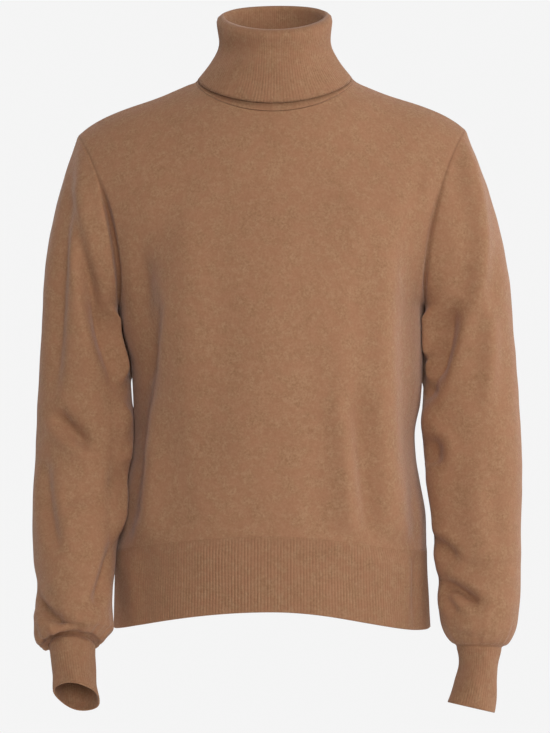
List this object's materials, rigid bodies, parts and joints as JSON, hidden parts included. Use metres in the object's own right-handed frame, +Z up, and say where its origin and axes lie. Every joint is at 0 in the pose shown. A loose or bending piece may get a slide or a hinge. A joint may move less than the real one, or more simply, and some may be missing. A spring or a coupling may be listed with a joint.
{
  "type": "turtleneck sweater",
  "caption": "Fine-knit turtleneck sweater, hollow as worn: folded-over ribbed collar, full sleeves drawn into ribbed cuffs, and a deep ribbed hem.",
  "frame": {"origin": "middle of the neck's base, level with the neck points of the shoulders, where the wearer's shoulders carry the sweater", "axes": "+Z up along the body, -Y the way the sweater faces, +X towards the wearer's left sleeve"},
  "size_m": [0.5362, 0.2532, 0.7778],
  "materials": {
    "knit": "brushed camel wool knit, matt with a soft nap"
  },
  "bodies": {
    "root": {"front": "knit", "back": "knit", "hem_rib_front": "knit", "hem_rib_back": "knit", "sleeve_right": "knit", "sleeve_left": "knit", "cuff_right": "knit", "cuff_left": "knit", "collar": "knit"}
  },
  "joints": []
}
